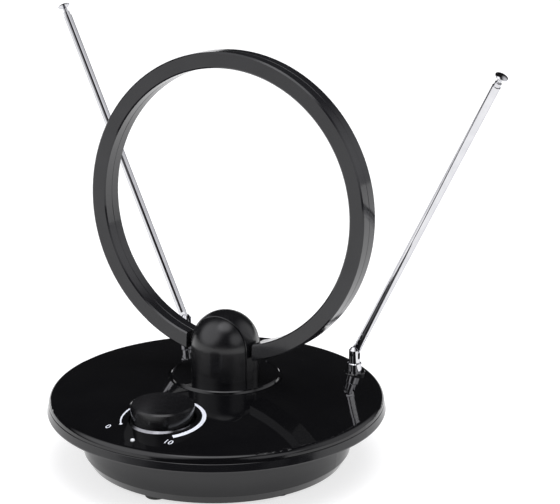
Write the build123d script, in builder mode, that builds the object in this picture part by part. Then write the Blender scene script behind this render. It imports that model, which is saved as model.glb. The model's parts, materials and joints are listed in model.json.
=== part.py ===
from build123d import *
from math import cos, radians, sin, sqrt
import os

# Indoor television antenna: a round weighted base with an amplifier inside, a gain knob, a loop that
# swivels and tilts on a domed hub, and two telescopic rods on swivelling clevis posts.
# Millimetres. The origin is on the table under the middle of the base, +Z up, front towards -Y.

# ---- base ----
BASE_RADIUS = 110.3         # where the dome and the rim's side would meet in a sharp edge
RIM_TOP_Z = 45.04
DOME_RISE = 9.15            # how far the middle of the plate stands above its edge
PLATE_THICKNESS = 2.6
EDGE_ROUND = 4.0
RIM_FLARE = 0.22            # the rim's side spreads outwards by this much for each mm down
SKIRT_BOTTOM_Z = 40.9       # seam between the plate and the rim below it
SKIRT_THICKNESS = 2.4
SEAM = 0.35
FLANGE_BOTTOM_Z = 34.4
FLANGE_TOP_Z = 37.0
DRUM_RADIUS = 90.2          # the widest part of the drum, at half height
CREASE_RADIUS = 89.1
CREASE_Z = 8.7
WALL = 2.2
FOOT_HEIGHT = 2.8
BOTTOM_RADIUS = 85.6
FLOOR_THICKNESS = 2.4
FLOOR_Z = FOOT_HEIGHT + FLOOR_THICKNESS

# ---- feet and base fasteners ----
FOOT_RADIUS = 7.0
FOOT_CIRCLE = 77.5
FOOT_RECESS = 1.0
FOOT_ANGLES = (-90, 30, 150)
COVER_SCREW_CIRCLE = 82.6
COVER_SCREW_ANGLES = (-30, 90, 210)
COLUMN_RADIUS = 5.2         # screw columns inside the drum
RIM_SCREW_CIRCLE = 98.0
RIM_SCREW_ANGLES = (18, 90, 162, 234, 306)
BALLAST_RADIUS = 62.0
BALLAST_PEG_CIRCLE = 48.0
BALLAST_PEG_RADIUS = 2.4

# ---- knob ----
KNOB_Y = -68.1
KNOB_TOP_Z = 60.5
KNOB_BOTTOM_Z = 49.9
KNOB_SOCKET_Z = 53.6        # foot of the socket that takes the shaft
KNOB_TOP_RADIUS = 20.7
KNOB_BOTTOM_RADIUS = 20.0
BEZEL_RADIUS = 21.8
BEZEL_TOP_Z = 49.5
WELL_FLOOR_Z = 46.5
WELL_UNDER_Z = 44.4
NECK_RADIUS = 3.5           # threaded neck of the gain control
SHAFT_RADIUS = 3.0
SHAFT_TOP_Z = 57.6
SHAFT_FLAT = 1.5            # from the shaft's middle to its flat
SOCKET_FIT = 0.03           # clearance between the shaft and the knob

# ---- amplifier board ----
BOARD_TOP_Z = 38.0
BOARD_THICKNESS = 1.6
BOARD_SIZE = (66.0, 46.0)
BOARD_Y = -55.0
BOARD_POST_X = 28.5
BOARD_POST_YS = (-37.0, -72.5)
LED_X = -2.0
LED_Y = -100.6
LED_RADIUS = 1.45
LED_BOTTOM_Z = 42.0

# ---- rear sockets ----
SOCKET_X = 15.0
SOCKET_Z = 21.5
PORT_FACE_Y = 86.6
PORT_WALL = 2.4
PORT_WIDTH = 48.0
PORT_HEIGHT = 16.0
BARREL_RADIUS = 4.4         # aerial socket, at the root of its thread, through the wall and the nut
THREAD_RADIUS = 4.75        # its free end, over the thread
THREAD_END = 10.0           # how far the free end stands out of the port's face
NUT_THICKNESS = 2.3
INSULATOR_RADIUS = 3.38
JACK_COLLAR = 4.5
JACK_BORE = 2.8
JACK_PIN = 1.05

# ---- turntable and hub ----
SWIVEL_Y = 11.7
SEAT_Z = 51.7
SEAT_UNDER_Z = 48.6
TABLE_RADIUS = 37.7
TABLE_TOP_RADIUS = 36.2
TABLE_BOTTOM_Z = 52.0
TABLE_TOP_Z = 55.1
TABLE_SCREW_X = 16.0
STOP_CIRCLE = 27.0          # the stop peg runs in a half-round slot on this circle
STOP_RADIUS = 1.9
STOP_DEPTH = 1.3
SPINDLE_RADIUS = 8.0
SPINDLE_BORE = 5.5
GROOVE_RADIUS = 7.1
HUB_RADIUS = 22.7
HUB_Z = 75.7
CORE_HALF = 8.5             # half the thickness of the hub's middle part
SHELL_GAP = 0.8             # open joint between the core and each shell
HUB_WALL = 2.0
HUB_SCREW_PLACES = [(-14.5, 64.0), (14.5, 64.0), (0, 90.0)]

# ---- loop ----
LEAN_BACK = 4.51
LOOP_OUTER = 102.3
LOOP_INNER = 91.7
LOOP_HALF_DEPTH = 8.5
LOOP_WALL = 1.4
LOOP_RISE = 93.15           # from the tilt axis to the middle of the loop
LOOP_END_X = 25.0           # the loop's ends are cut flat here, each side
LOOP_BLOCK_X = 34.0         # solid end blocks run from the cut to here
SLEEVE_RADIUS = 3.9
SLEEVE_BORE = 2.4
SLEEVE_HALF = 32.4
CLIP_X = 9.2                # outer face of each clip on the sleeve
LOOP_COLUMN = 3.2           # radius of the screw columns in the channel
LOOP_SCREW_CIRCLE = 96.0
LOOP_SCREW_ANGLES = (-40, 10, 60, 120, 170, 220)

# ---- rods ----
POST_X = 66.4
POST_Y = 70.5
BUSH_UNDER_Z = 42.6
BUSH_SEAT_Z = 45.4
BUSH_TOP_Z = 48.6
BUSH_RADIUS = 7.35
BUSH_NECK = 5.0
COLLAR_FOOT_Z = 39.8
COLLAR_TOP_Z = 54.9
COLLAR_RADIUS = 4.7
COLLAR_NECK = 3.2
PIVOT_Z = 61.4
CLEVIS_RADIUS = 3.85
CLEVIS_TOP_Z = 66.0
STEM_RADIUS = 2.4
SLOT_WIDTH = 2.2
PIN_RADIUS = 0.95
PIN_HEAD = 1.45
PIN_HEAD_HEIGHT = 0.65
FLAT = 3.1                  # from the clevis's middle to each flat under a pin head
ROD_LEAN = 28.46            # how far each rod leans outwards from upright
ROD_TURN = 11.5             # how far each post is turned clockwise, seen from above
ROD_LENGTH = 238.9          # from the pivot to the top of the tip, pushed in
TUBE_RADII = (2.80, 2.24, 1.74, 1.24, 0.78)
TUBE_BORES = (2.45, 1.95, 1.45, 0.97, 0.0)
TUBE_ENDS = (229.9, 232.8, 233.3, 233.6, 236.6)
TUBE_STARTS = (6.5, 21.0, 22.5, 24.0, 25.5)
FOOT_LENGTH = 8.0           # the wide foot of each inner tube, which runs in the tube outside
LIP = 1.2
CRIMP_PLACES = (3.0, 7.2, 11.4)   # rings rolled into the foot of the outer tube
CRIMP_WIDTH = 1.0
CRIMP_DEPTH = 0.15
CAP_RADIUS = 4.3
CAP_RISE = 1.2

# ---- fits ----
RUNNING = 0.06              # radial clearance of a running fit


class Screw:
    """A cross-head screw, and the radii of the holes that take it."""

    def __init__(self, head_radius, head_height, shank_radius, length):
        self.head_radius = head_radius
        self.head_height = head_height
        self.shank_radius = shank_radius
        self.length = length
        self.pilot = shank_radius + 0.1
        self.clearance = shank_radius + 0.35
        self.counterbore = head_radius + 0.2


COVER_SCREW = Screw(3.0, 2.0, 1.5, 16.0)
COVER_HEAD_DEPTH = 1.2      # how far the cover screws' heads lie in their counterbores
RIM_SCREW = Screw(2.8, 1.4, 1.25, 7.0)
BOARD_SCREW = Screw(2.6, 1.6, 1.1, 6.0)
HUB_SCREW = Screw(2.6, 1.8, 1.25, 22.0)
TABLE_SCREW = Screw(2.8, 1.6, 1.25, 6.5)
LOOP_SCREW = Screw(2.1, 1.7, 1.05, 12.0)

os.makedirs("parts", exist_ok=True)

DOME_RADIUS = (BASE_RADIUS**2 + DOME_RISE**2) / (2 * DOME_RISE)
DOME_CENTRE_Z = RIM_TOP_Z + DOME_RISE - DOME_RADIUS


def write(piece, node):
    """Label a finished piece and write its file."""
    piece.part.label = node
    export_step(piece.part, f"parts/{node}.step")


def dome_z(radius, depth=0.0):
    """Height of the plate's surface, or of a surface at a depth below it, at a distance from the middle."""
    return DOME_CENTRE_Z + sqrt((DOME_RADIUS - depth) ** 2 - radius**2)


def side_radius(z):
    """Radius of the rim's flared side at a height."""
    return BASE_RADIUS + (RIM_TOP_Z - z) * RIM_FLARE


def dome_arc(start, end, depth=0.0):
    """An arc of the dome's section between two distances from the middle."""
    middle = (start + end) / 2
    return ThreePointArc(
        (start, dome_z(start, depth)), (middle, dome_z(middle, depth)), (end, dome_z(end, depth))
    )


def around(radius, angles):
    """Points on a circle about the middle of the base."""
    return [(radius * cos(radians(a)), radius * sin(radians(a))) for a in angles]


def screws(planes, size):
    """Cross-head screws. Each plane lies on the head's outer face, its normal runs towards the tip."""
    cross_length = size.head_radius * 1.2
    cross_width = size.head_radius * 0.28
    with BuildPart() as group:
        for plane in planes:
            with BuildSketch(plane):
                Circle(size.head_radius)
            extrude(amount=size.head_height)
            with BuildSketch(plane.offset(size.head_height)):
                Circle(size.shank_radius)
            extrude(amount=size.length)
            with BuildSketch(plane):
                Rectangle(cross_length, cross_width)
                Rectangle(cross_width, cross_length)
            extrude(amount=size.head_height * 0.5, mode=Mode.SUBTRACT)
    return group


def ring(bottom, top, outer, inner, centre=(0, 0)):
    """A plain ring or washer standing on a level plane."""
    with BuildPart() as washer:
        with BuildSketch(Plane.XY.offset(bottom)):
            with Locations(centre):
                Circle(outer)
                Circle(inner, mode=Mode.SUBTRACT)
        extrude(amount=top - bottom)
    return washer


# ======================================================================= base

SKIN = 0.6                  # the bosses under the plate end this far below its surface
board_holes = [(s * BOARD_POST_X, y) for s in (-1, 1) for y in BOARD_POST_YS]
rim_holes = around(RIM_SCREW_CIRCLE, RIM_SCREW_ANGLES)
cover_holes = around(COVER_SCREW_CIRCLE, COVER_SCREW_ANGLES)
post_centres = [(-POST_X, POST_Y), (POST_X, POST_Y)]

skirt_inside = BASE_RADIUS - SKIRT_THICKNESS

# Solid under the plate's surface. It trims the wells and bosses moulded under the plate.
dome_fill = revolve(
    make_face(
        Curve()
        + [
            dome_arc(0, skirt_inside, SKIN),
            Polyline(
                (skirt_inside, dome_z(skirt_inside, SKIN)),
                (skirt_inside, FLANGE_BOTTOM_Z),
                (0, FLANGE_BOTTOM_Z),
                (0, dome_z(0, SKIN)),
            ),
        ]
    ).rotate(Axis.X, 90),
    Axis.Z,
)


def under_plate(x, y, radius, bottom):
    """A round boss from a level up to the plate's skin."""
    height = RIM_TOP_Z + DOME_RISE - bottom
    return dome_fill & Pos(x, y, bottom + height / 2) * Cylinder(radius, height)


# each boss: its centre, its radius and how far down it reaches
boss_places = [(x, y, 3.5, FLANGE_TOP_Z) for x, y in rim_holes]
boss_places += [(x, y, 3.2, BOARD_TOP_Z) for x, y in board_holes]
boss_places += [(x, y, BUSH_RADIUS + 2.05, BUSH_UNDER_Z) for x, y in post_centres]
boss_places += [(0, SWIVEL_Y, TABLE_RADIUS + 3.3, SEAT_UNDER_Z)]
boss_places += [(0, KNOB_Y, BEZEL_RADIUS + 2.4, WELL_UNDER_Z)]
plate_bosses = [under_plate(*place) for place in boss_places]

with BuildPart() as top_plate:
    with BuildSketch(Plane.XZ) as plate_section:
        with BuildLine():
            dome_arc(0, BASE_RADIUS)
            Polyline(
                (BASE_RADIUS, RIM_TOP_Z),
                (side_radius(SKIRT_BOTTOM_Z), SKIRT_BOTTOM_Z),
                (skirt_inside, SKIRT_BOTTOM_Z),
                (skirt_inside, dome_z(skirt_inside, PLATE_THICKNESS)),
            )
            dome_arc(0, skirt_inside, PLATE_THICKNESS)
            Line((0, dome_z(0, PLATE_THICKNESS)), (0, dome_z(0)))
        make_face()
        corners = plate_section.vertices()
        fillet(corners.filter_by_position(Axis.X, BASE_RADIUS - 0.01, BASE_RADIUS + 0.01), EDGE_ROUND)
    revolve(axis=Axis.Z)
    add(plate_bosses)
    # seat of the turntable, well of the knob, seats of the two rod bushes
    with BuildSketch(Plane.XY.offset(SEAT_Z)):
        with Locations((0, SWIVEL_Y)):
            Circle(TABLE_RADIUS + 0.4)
    extrude(amount=10, mode=Mode.SUBTRACT)
    with BuildSketch(Plane.XY.offset(WELL_FLOOR_Z)):
        with Locations((0, KNOB_Y)):
            Circle(BEZEL_RADIUS + 0.05)
    extrude(amount=10, mode=Mode.SUBTRACT)
    with BuildSketch(Plane.XY.offset(BUSH_SEAT_Z)):
        with Locations(*post_centres):
            Circle(BUSH_RADIUS + 0.1)
    extrude(amount=10, mode=Mode.SUBTRACT)
    # holes for the swivel spindle, the gain control, the lamp and the rod bushes
    with BuildSketch(Plane.XY.offset(30)):
        with Locations((0, SWIVEL_Y)):
            Circle(SPINDLE_RADIUS + RUNNING)
        with Locations((0, KNOB_Y)):
            Circle(NECK_RADIUS + 0.1)
        with Locations((LED_X, LED_Y)):
            Circle(LED_RADIUS + 0.15)
        with Locations(*post_centres):
            Circle(BUSH_NECK + 0.05)
    extrude(amount=30, mode=Mode.SUBTRACT)
    # blind holes for the screws
    with BuildSketch(Plane.XY.offset(FLANGE_TOP_Z)):
        with Locations(*rim_holes):
            Circle(RIM_SCREW.pilot)
    extrude(amount=RIM_SCREW.length, mode=Mode.SUBTRACT)
    with BuildSketch(Plane.XY.offset(BOARD_TOP_Z)):
        with Locations(*board_holes):
            Circle(BOARD_SCREW.pilot)
    extrude(amount=5.6, mode=Mode.SUBTRACT)
    # half-round slot in the seat: the turntable's stop peg runs in it
    with BuildSketch(Plane.XY.offset(SEAT_Z - STOP_DEPTH)):
        with Locations((0, SWIVEL_Y)):
            SlotArc(CenterArc((0, 0), STOP_CIRCLE, 180, 180, mode=Mode.PRIVATE), 2 * STOP_RADIUS + 0.6)
    extrude(amount=3, mode=Mode.SUBTRACT)
write(top_plate, "top_plate")

SHELL_TOP_RADIUS = 89.4     # the drum where it meets the flange
SHELL_MID_Z = 20.0          # height of the drum's widest part
column_bottom = CREASE_Z + 2.2
seam_z = SKIRT_BOTTOM_Z - SEAM
RIM_STEP = 0.1              # the lower rim stands this far inside the skirt above it
BOTTOM_ROUND = 1.2          # rounding of the rim's lower edge
foot_of_side = FLANGE_BOTTOM_Z + BOTTOM_ROUND
rim_widest = side_radius(foot_of_side) - RIM_STEP
with BuildPart() as base_shell:
    with BuildSketch(Plane.XZ):
        with BuildLine():
            ThreePointArc(
                (CREASE_RADIUS, CREASE_Z),
                (DRUM_RADIUS, SHELL_MID_Z),
                (SHELL_TOP_RADIUS, FLANGE_BOTTOM_Z),
            )
            Polyline(
                (SHELL_TOP_RADIUS, FLANGE_BOTTOM_Z),
                (rim_widest - BOTTOM_ROUND, FLANGE_BOTTOM_Z),
                (rim_widest - 0.3 * BOTTOM_ROUND, FLANGE_BOTTOM_Z + 0.3 * BOTTOM_ROUND),
                (rim_widest, foot_of_side),
                (side_radius(seam_z) - RIM_STEP, seam_z - 0.5),
                (side_radius(seam_z) - RIM_STEP - 0.5, seam_z),
                (skirt_inside, seam_z),
                (skirt_inside, FLANGE_TOP_Z),
                (SHELL_TOP_RADIUS - WALL, FLANGE_TOP_Z),
            )
            ThreePointArc(
                (SHELL_TOP_RADIUS - WALL, FLANGE_TOP_Z),
                (DRUM_RADIUS - WALL, SHELL_MID_Z),
                (CREASE_RADIUS - WALL, CREASE_Z),
            )
            Line((CREASE_RADIUS - WALL, CREASE_Z), (CREASE_RADIUS, CREASE_Z))
        make_face()
    revolve(axis=Axis.Z)
    # screw columns against the wall, and a thick panel behind the rear sockets
    with BuildSketch(Plane.XY.offset(column_bottom)):
        with Locations(*cover_holes):
            Circle(COLUMN_RADIUS)
    extrude(amount=20)
    with BuildSketch(Plane.XY.offset(SOCKET_Z - PORT_HEIGHT / 2 - 1.5)):
        with Locations((0, PORT_FACE_Y - PORT_WALL / 2)):
            Rectangle(PORT_WIDTH, PORT_WALL)
    extrude(amount=PORT_HEIGHT + 3)
    with BuildSketch(Plane.XY.offset(SOCKET_Z - PORT_HEIGHT / 2)):
        with Locations((0, PORT_FACE_Y + 5)):
            Rectangle(PORT_WIDTH, 10)
    extrude(amount=PORT_HEIGHT, mode=Mode.SUBTRACT)
    # openings for the two sockets
    with BuildSketch(Plane.XZ.offset(-PORT_FACE_Y)):
        with Locations((SOCKET_X, SOCKET_Z)):
            Circle(THREAD_RADIUS + 0.15)
        with Locations((-SOCKET_X, SOCKET_Z)):
            Circle(JACK_COLLAR + 0.1)
    extrude(amount=10, both=True, mode=Mode.SUBTRACT)
    # pilot holes for the cover screws, and recessed holes for the rim screws
    with BuildSketch(Plane.XY.offset(column_bottom)):
        with Locations(*cover_holes):
            Circle(COVER_SCREW.pilot)
    extrude(amount=14, mode=Mode.SUBTRACT)
    with BuildSketch(Plane.XY.offset(FLANGE_BOTTOM_Z)):
        with Locations(*rim_holes):
            Circle(RIM_SCREW.clearance)
    extrude(amount=10, mode=Mode.SUBTRACT)
    with BuildSketch(Plane.XY.offset(FLANGE_BOTTOM_Z)):
        with Locations(*rim_holes):
            Circle(RIM_SCREW.counterbore)
    extrude(amount=RIM_SCREW.head_height, mode=Mode.SUBTRACT)
write(base_shell, "base_shell")

lip_radius = CREASE_RADIUS - WALL - 0.3
lip_top = CREASE_Z + 2.0
with BuildPart() as bottom_cover:
    with BuildSketch(Plane.XZ):
        Polygon(
            (0, FOOT_HEIGHT),
            (BOTTOM_RADIUS, FOOT_HEIGHT),
            (CREASE_RADIUS - 0.1, CREASE_Z - 0.1),
            (lip_radius, CREASE_Z - 0.1),
            (lip_radius, lip_top),
            (lip_radius - 2.0, lip_top),
            (lip_radius - 4.0, FLOOR_Z),
            (0, FLOOR_Z),
            align=None,
        )
    revolve(axis=Axis.Z)
    # solid pads where the cover screws pass, pegs for the ballast plate
    with BuildSketch(Plane.XY.offset(FOOT_HEIGHT)):
        with Locations(*around(COVER_SCREW_CIRCLE - 1.0, COVER_SCREW_ANGLES)):
            Circle(4.6)
    extrude(amount=lip_top - FOOT_HEIGHT)
    with BuildSketch(Plane.XY.offset(FLOOR_Z)):
        with PolarLocations(BALLAST_PEG_CIRCLE, 3, start_angle=30):
            Circle(BALLAST_PEG_RADIUS)
    extrude(amount=4.2)
    # recesses for the feet, counterbored holes for the cover screws
    with BuildSketch(Plane.XY.offset(FOOT_HEIGHT)):
        with Locations(*around(FOOT_CIRCLE, FOOT_ANGLES)):
            Circle(FOOT_RADIUS + 0.1)
    extrude(amount=FOOT_RECESS, mode=Mode.SUBTRACT)
    with BuildSketch(Plane.XY.offset(FOOT_HEIGHT)):
        with Locations(*cover_holes):
            Circle(COVER_SCREW.clearance)
    extrude(amount=20, mode=Mode.SUBTRACT)
    with BuildSketch(Plane.XY.offset(FOOT_HEIGHT)):
        with Locations(*cover_holes):
            Circle(COVER_SCREW.counterbore)
    extrude(amount=COVER_HEAD_DEPTH + COVER_SCREW.head_height, mode=Mode.SUBTRACT)
write(bottom_cover, "bottom_cover")

with BuildPart() as feet:
    with BuildSketch():
        with Locations(*around(FOOT_CIRCLE, FOOT_ANGLES)):
            Circle(FOOT_RADIUS)
    extrude(amount=FOOT_HEIGHT + FOOT_RECESS)
    chamfer(feet.edges().group_by(Axis.Z)[0], 0.7)
write(feet, "feet")

cover_planes = [Plane((x, y, FOOT_HEIGHT + COVER_HEAD_DEPTH)) for x, y in cover_holes]
write(screws(cover_planes, COVER_SCREW), "cover_screws")

rim_planes = [Plane((x, y, FLANGE_BOTTOM_Z)) for x, y in rim_holes]
write(screws(rim_planes, RIM_SCREW), "rim_screws")

with BuildPart() as ballast_plate:
    with BuildSketch(Plane.XY.offset(FLOOR_Z)):
        Circle(BALLAST_RADIUS)
        Circle(14, mode=Mode.SUBTRACT)
        with PolarLocations(BALLAST_PEG_CIRCLE, 3, start_angle=30):
            Circle(BALLAST_PEG_RADIUS + 0.2, mode=Mode.SUBTRACT)
    extrude(amount=3.0)
    chamfer(ballast_plate.edges().group_by(Axis.Z)[-1], 0.4)
write(ballast_plate, "ballast_plate")

# ================================================================ electronics

board_bottom = BOARD_TOP_Z - BOARD_THICKNESS

with BuildPart() as circuit_board:
    with BuildSketch(Plane.XY.offset(board_bottom)):
        with Locations((0, BOARD_Y)):
            Rectangle(*BOARD_SIZE)
        with Locations(*board_holes):
            Circle(BOARD_SCREW.clearance, mode=Mode.SUBTRACT)
    extrude(amount=BOARD_THICKNESS)
    fillet(circuit_board.edges().filter_by(Axis.Z).group_by(SortBy.LENGTH)[-1], 0.5)
write(circuit_board, "circuit_board")

board_planes = [Plane((x, y, board_bottom - BOARD_SCREW.head_height)) for x, y in board_holes]
write(screws(board_planes, BOARD_SCREW), "board_screws")

# capacitors, a chip and two coils, standing on the board
with BuildPart() as board_parts:
    with BuildSketch(Plane.XY.offset(BOARD_TOP_Z)):
        with Locations((19, -45), (19, -53)):
            Circle(2.5)
    extrude(amount=5.5)
    with BuildSketch(Plane.XY.offset(BOARD_TOP_Z)):
        with Locations((-20, -60)):
            Rectangle(6, 5)
    extrude(amount=1.6)
    with BuildSketch(Plane.XY.offset(BOARD_TOP_Z)):
        with Locations((8, -42), (-20, -69)):
            Circle(3.0)
            Circle(1.2, mode=Mode.SUBTRACT)
    extrude(amount=3.0)
write(board_parts, "board_parts")

with BuildPart() as shield_can:
    with BuildSketch(Plane.XY.offset(BOARD_TOP_Z)):
        with Locations((-9, -43)):
            Rectangle(22, 15)
    extrude(amount=5)
    offset(amount=-0.4, openings=shield_can.faces().sort_by(Axis.Z)[0])
write(shield_can, "shield_can")

# gain control with its switch: a flat body, a threaded neck and a turning shaft
with BuildPart() as gain_control:
    with BuildSketch(Plane.XY.offset(BOARD_TOP_Z)):
        with Locations((0, KNOB_Y)):
            RectangleRounded(16, 14, 1.5)
    extrude(amount=WELL_UNDER_Z - BOARD_TOP_Z)
    with BuildSketch(Plane.XY.offset(WELL_UNDER_Z)):
        with Locations((0, KNOB_Y)):
            Circle(NECK_RADIUS)
    extrude(amount=WELL_FLOOR_Z + 4.0 - WELL_UNDER_Z)
    with BuildSketch(Plane.XY.offset(BOARD_TOP_Z + 1.5)):
        with Locations((0, KNOB_Y)):
            Circle(SHAFT_RADIUS + RUNNING)
    extrude(amount=20, mode=Mode.SUBTRACT)
write(gain_control, "gain_control")

with BuildPart() as gain_nut:
    with BuildSketch(Plane.XY.offset(WELL_FLOOR_Z)):
        with Locations((0, KNOB_Y)):
            RegularPolygon(5.0, 6, major_radius=False)
            Circle(NECK_RADIUS + 0.05, mode=Mode.SUBTRACT)
    extrude(amount=2.2)
write(gain_nut, "gain_nut")

shaft_bottom = BOARD_TOP_Z + 1.7
with BuildPart() as gain_shaft:
    with BuildSketch(Plane.XY.offset(shaft_bottom)):
        with Locations((0, KNOB_Y)):
            Circle(SHAFT_RADIUS)
    extrude(amount=SHAFT_TOP_Z - shaft_bottom)
    # the flat that drives the knob
    with BuildSketch(Plane.XY.offset(KNOB_SOCKET_Z - 1.6)):
        with Locations((0, KNOB_Y + SHAFT_FLAT + 2.0)):
            Rectangle(8, 4.0)
    extrude(amount=10, mode=Mode.SUBTRACT)
write(gain_shaft, "gain_shaft")

with BuildPart() as power_led:
    with BuildSketch(Plane.XY.offset(LED_BOTTOM_Z)):
        with Locations((LED_X, LED_Y)):
            Circle(LED_RADIUS)
    extrude(amount=5.8)
    fillet(power_led.edges().group_by(Axis.Z)[-1], 1.3)
    with BuildSketch(Plane.XY.offset(LED_BOTTOM_Z)):
        with Locations((LED_X, LED_Y)):
            Circle(LED_RADIUS + 0.5)
    extrude(amount=1.4)
    with BuildSketch(Plane.XY.offset(LED_BOTTOM_Z)):
        with Locations((LED_X - 0.9, LED_Y), (LED_X + 0.9, LED_Y)):
            Circle(0.3)
    extrude(amount=-3.1)
write(power_led, "power_led")

# ============================================================== rear sockets

port_inside = PORT_FACE_Y - PORT_WALL
nut_face = PORT_FACE_Y + NUT_THICKNESS

# threaded aerial socket: a six-sided flange inside the wall, a barrel through it and a free threaded end
with BuildPart() as aerial_socket:
    with BuildSketch(Plane.XZ.offset(-port_inside)):
        with Locations((SOCKET_X, SOCKET_Z)):
            RegularPolygon(6.4, 6, major_radius=False)
    extrude(amount=6)
    with BuildSketch(Plane.XZ.offset(-port_inside)):
        with Locations((SOCKET_X, SOCKET_Z)):
            Circle(BARREL_RADIUS)
    extrude(amount=-(nut_face - port_inside))
    with BuildSketch(Plane.XZ.offset(-nut_face)):
        with Locations((SOCKET_X, SOCKET_Z)):
            Circle(THREAD_RADIUS)
    extrude(amount=-(PORT_FACE_Y + THREAD_END - nut_face))
    chamfer(aerial_socket.edges().group_by(Axis.Y)[-1], 0.5)
    with BuildSketch(Plane.XZ.offset(-(PORT_FACE_Y + THREAD_END))):
        with Locations((SOCKET_X, SOCKET_Z)):
            Circle(INSULATOR_RADIUS + 0.02)
    extrude(amount=THREAD_END + 2.0, mode=Mode.SUBTRACT)
write(aerial_socket, "aerial_socket")

with BuildPart() as socket_insulator:
    with BuildSketch(Plane.XZ.offset(-(PORT_FACE_Y + THREAD_END - 0.8))):
        with Locations((SOCKET_X, SOCKET_Z)):
            Circle(INSULATOR_RADIUS)
            Circle(0.6, mode=Mode.SUBTRACT)
    extrude(amount=THREAD_END + 1.2)
write(socket_insulator, "socket_insulator")

with BuildPart() as socket_nut:
    with BuildSketch(Plane.XZ.offset(-PORT_FACE_Y)):
        with Locations((SOCKET_X, SOCKET_Z)):
            RegularPolygon(6.2, 6, major_radius=False)
            Circle(BARREL_RADIUS + 0.05, mode=Mode.SUBTRACT)
    extrude(amount=-(NUT_THICKNESS - 0.1))
write(socket_nut, "socket_nut")

# supply jack: a box behind the wall with a round collar in it, and a centre pin
with BuildPart() as supply_jack:
    with BuildSketch(Plane.XZ.offset(-port_inside)):
        with Locations((-SOCKET_X, SOCKET_Z)):
            Rectangle(11, 11)
    extrude(amount=13)
    with BuildSketch(Plane.XZ.offset(-port_inside)):
        with Locations((-SOCKET_X, SOCKET_Z)):
            Circle(JACK_COLLAR)
    extrude(amount=-PORT_WALL)
    with BuildSketch(Plane.XZ.offset(-PORT_FACE_Y)):
        with Locations((-SOCKET_X, SOCKET_Z)):
            Circle(JACK_BORE)
            Circle(JACK_PIN, mode=Mode.SUBTRACT)
    extrude(amount=10.5, mode=Mode.SUBTRACT)
    with BuildSketch(Plane.XZ.offset(-PORT_FACE_Y)):
        with Locations((-SOCKET_X, SOCKET_Z)):
            Circle(JACK_PIN + 0.25)
    extrude(amount=1.2, mode=Mode.SUBTRACT)
write(supply_jack, "supply_jack")

# ======================================================================= knob

knob_axis = Axis((0, KNOB_Y, 0), (0, 0, 1))
knob_section = Plane(knob_axis.position, x_dir=(1, 0, 0), z_dir=(0, -1, 0))

with BuildPart() as knob_bezel:
    with BuildSketch(knob_section):
        Polygon(
            (15.5, WELL_FLOOR_Z),
            (BEZEL_RADIUS, WELL_FLOOR_Z),
            (BEZEL_RADIUS, BEZEL_TOP_Z - 1.6),
            (BEZEL_RADIUS - 1.6, BEZEL_TOP_Z),
            (16.5, BEZEL_TOP_Z),
            (15.5, BEZEL_TOP_Z - 1.0),
            align=None,
        )
    revolve(axis=knob_axis)
write(knob_bezel, "knob_bezel")

# a hollow cap with a bevelled top edge, and a round socket in the middle for the shaft
knob_under_z = KNOB_TOP_Z - 2.3
socket_top_z = SHAFT_TOP_Z + 0.2
socket_wall = 5.6
with BuildPart() as knob:
    with BuildSketch(knob_section):
        Polygon(
            (0, socket_top_z),
            (0, KNOB_TOP_Z),
            (KNOB_TOP_RADIUS - 1.3, KNOB_TOP_Z),
            (KNOB_TOP_RADIUS, KNOB_TOP_Z - 1.0),
            (KNOB_BOTTOM_RADIUS, KNOB_BOTTOM_Z),
            (KNOB_BOTTOM_RADIUS - 2.0, KNOB_BOTTOM_Z),
            (KNOB_BOTTOM_RADIUS - 1.2, knob_under_z),
            (socket_wall, knob_under_z),
            (socket_wall, KNOB_SOCKET_Z),
            (SHAFT_RADIUS + SOCKET_FIT, KNOB_SOCKET_Z),
            (SHAFT_RADIUS + SOCKET_FIT, socket_top_z),
            align=None,
        )
    revolve(axis=knob_axis)
    # the flat inside the knob's socket
    with BuildSketch(Plane.XY.offset(KNOB_SOCKET_Z)):
        with Locations((0, KNOB_Y + SHAFT_FLAT + SOCKET_FIT + 0.9)):
            Rectangle(4.6, 1.8)
    extrude(amount=socket_top_z - KNOB_SOCKET_Z)
write(knob, "knob")

# ================================================================== turntable

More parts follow.
